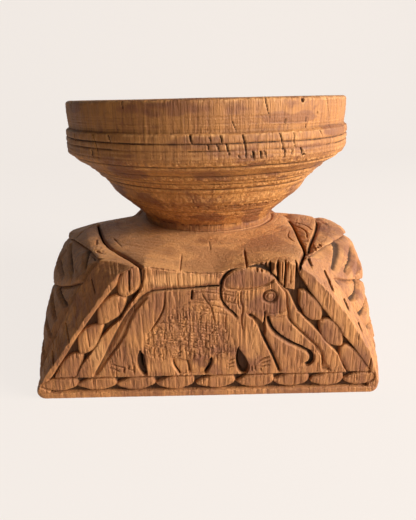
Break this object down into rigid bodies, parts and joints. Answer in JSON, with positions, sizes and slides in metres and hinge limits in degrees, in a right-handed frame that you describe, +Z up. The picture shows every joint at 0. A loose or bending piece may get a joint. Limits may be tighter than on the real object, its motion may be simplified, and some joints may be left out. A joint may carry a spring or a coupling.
{
  "type": "carved stool",
  "caption": "Low wooden stool: a round turned seat on a narrow neck, wedged into a square block carved with an elephant panel, bead borders and rows of leaves.",
  "frame": {"origin": "on the ground under the middle of the square block", "axes": "+Z up, the elephant panel faces -Y, +X to the right of someone facing that panel"},
  "size_m": [0.305, 0.305, 0.2472],
  "materials": {
    "seat_wood": "old hand-rubbed hardwood, golden brown with dark patches, dull wax sheen",
    "base_wood": "weathered carved hardwood, brown with darkened hollows and worn golden edges",
    "wedge_wood": "plain dark hardwood, end grain"
  },
  "bodies": {
    "root": {"turned_seat": "seat_wood", "carved_base": "base_wood", "wedge_left": "wedge_wood", "wedge_right": "wedge_wood"}
  },
  "joints": []
}
